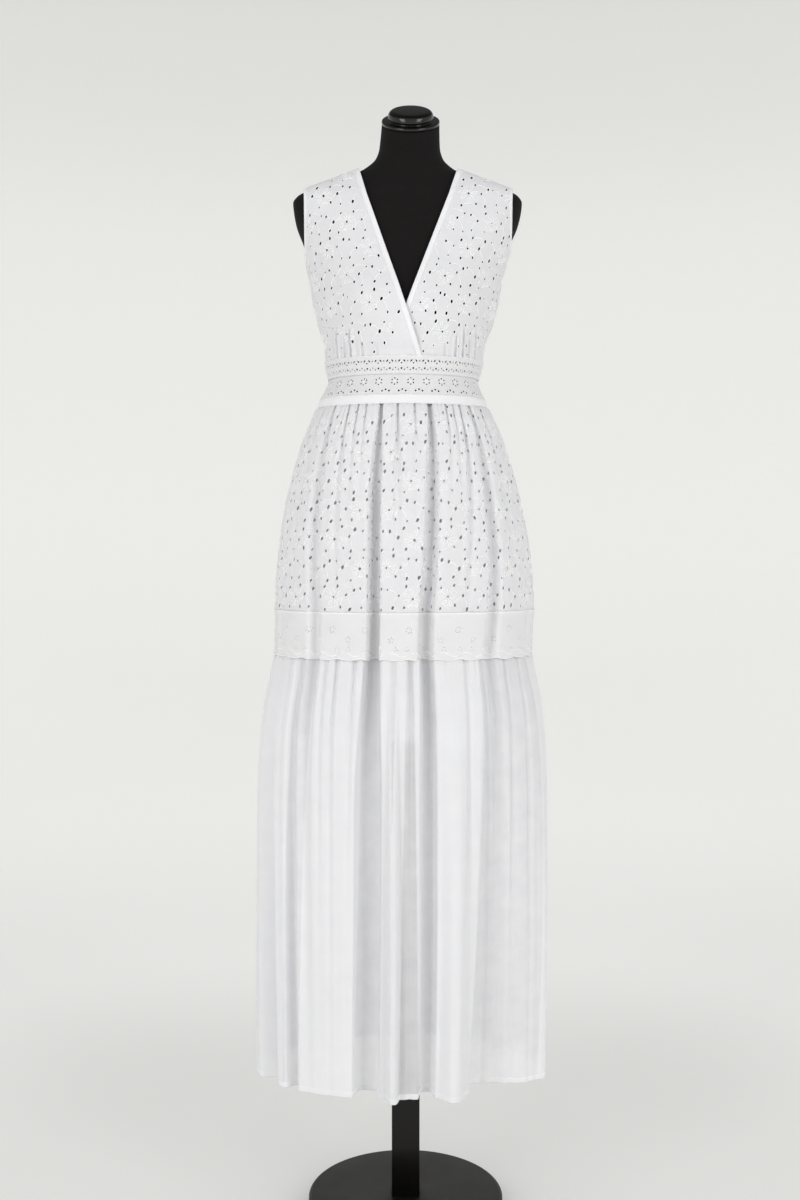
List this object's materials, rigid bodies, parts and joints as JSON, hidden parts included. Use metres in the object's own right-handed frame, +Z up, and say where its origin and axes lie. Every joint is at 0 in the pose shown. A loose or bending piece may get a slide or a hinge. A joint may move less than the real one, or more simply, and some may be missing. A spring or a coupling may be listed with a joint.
{
  "type": "maxi dress on dress form",
  "caption": "Sleeveless white eyelet maxi dress with a wrapped V neck, lace waist and sheer gathered lower tier, on a black limbless dress form with a post and a round base.",
  "frame": {"origin": "centre of the underside of the stand's base", "axes": "+Z up, the dress faces -Y, +X towards the wearer's left"},
  "size_m": [0.4659, 0.3118, 1.7622],
  "materials": {
    "eyelet_cotton": "matt white cotton with embroidered eyelets",
    "plain_cotton": "matt white plain cotton",
    "sheer_cotton": "sheer white cotton voile",
    "cotton_lace": "raised white cotton lace",
    "lining_cotton": "thin white cotton lining",
    "black_jersey": "matt black knitted cover",
    "black_lacquer": "gloss black lacquer",
    "black_wood": "satin black painted wood"
  },
  "bodies": {
    "root": {"base": "black_wood", "post": "black_wood", "torso": "black_jersey", "neck_cap": "black_lacquer", "bodice_front_right": "eyelet_cotton", "bodice_front_left": "eyelet_cotton", "bodice_back": "eyelet_cotton", "neck_band_front_right": "plain_cotton", "neck_band_front_left": "plain_cotton", "neck_band_back": "plain_cotton", "armhole_band_right": "plain_cotton", "armhole_band_left": "plain_cotton", "shoulder_strip_right": "cotton_lace", "shoulder_strip_left": "cotton_lace", "lace_trim_front": "cotton_lace", "lace_trim_back": "cotton_lace", "sheer_band_front": "sheer_cotton", "sheer_band_back": "sheer_cotton", "waistband_front": "plain_cotton", "waistband_back": "plain_cotton", "eyelet_tier_front": "eyelet_cotton", "eyelet_tier_back": "eyelet_cotton", "border_front": "plain_cotton", "border_back": "plain_cotton", "lower_tier_front": "sheer_cotton", "lower_tier_back": "sheer_cotton", "lining_front": "lining_cotton", "lining_back": "lining_cotton"}
  },
  "joints": []
}
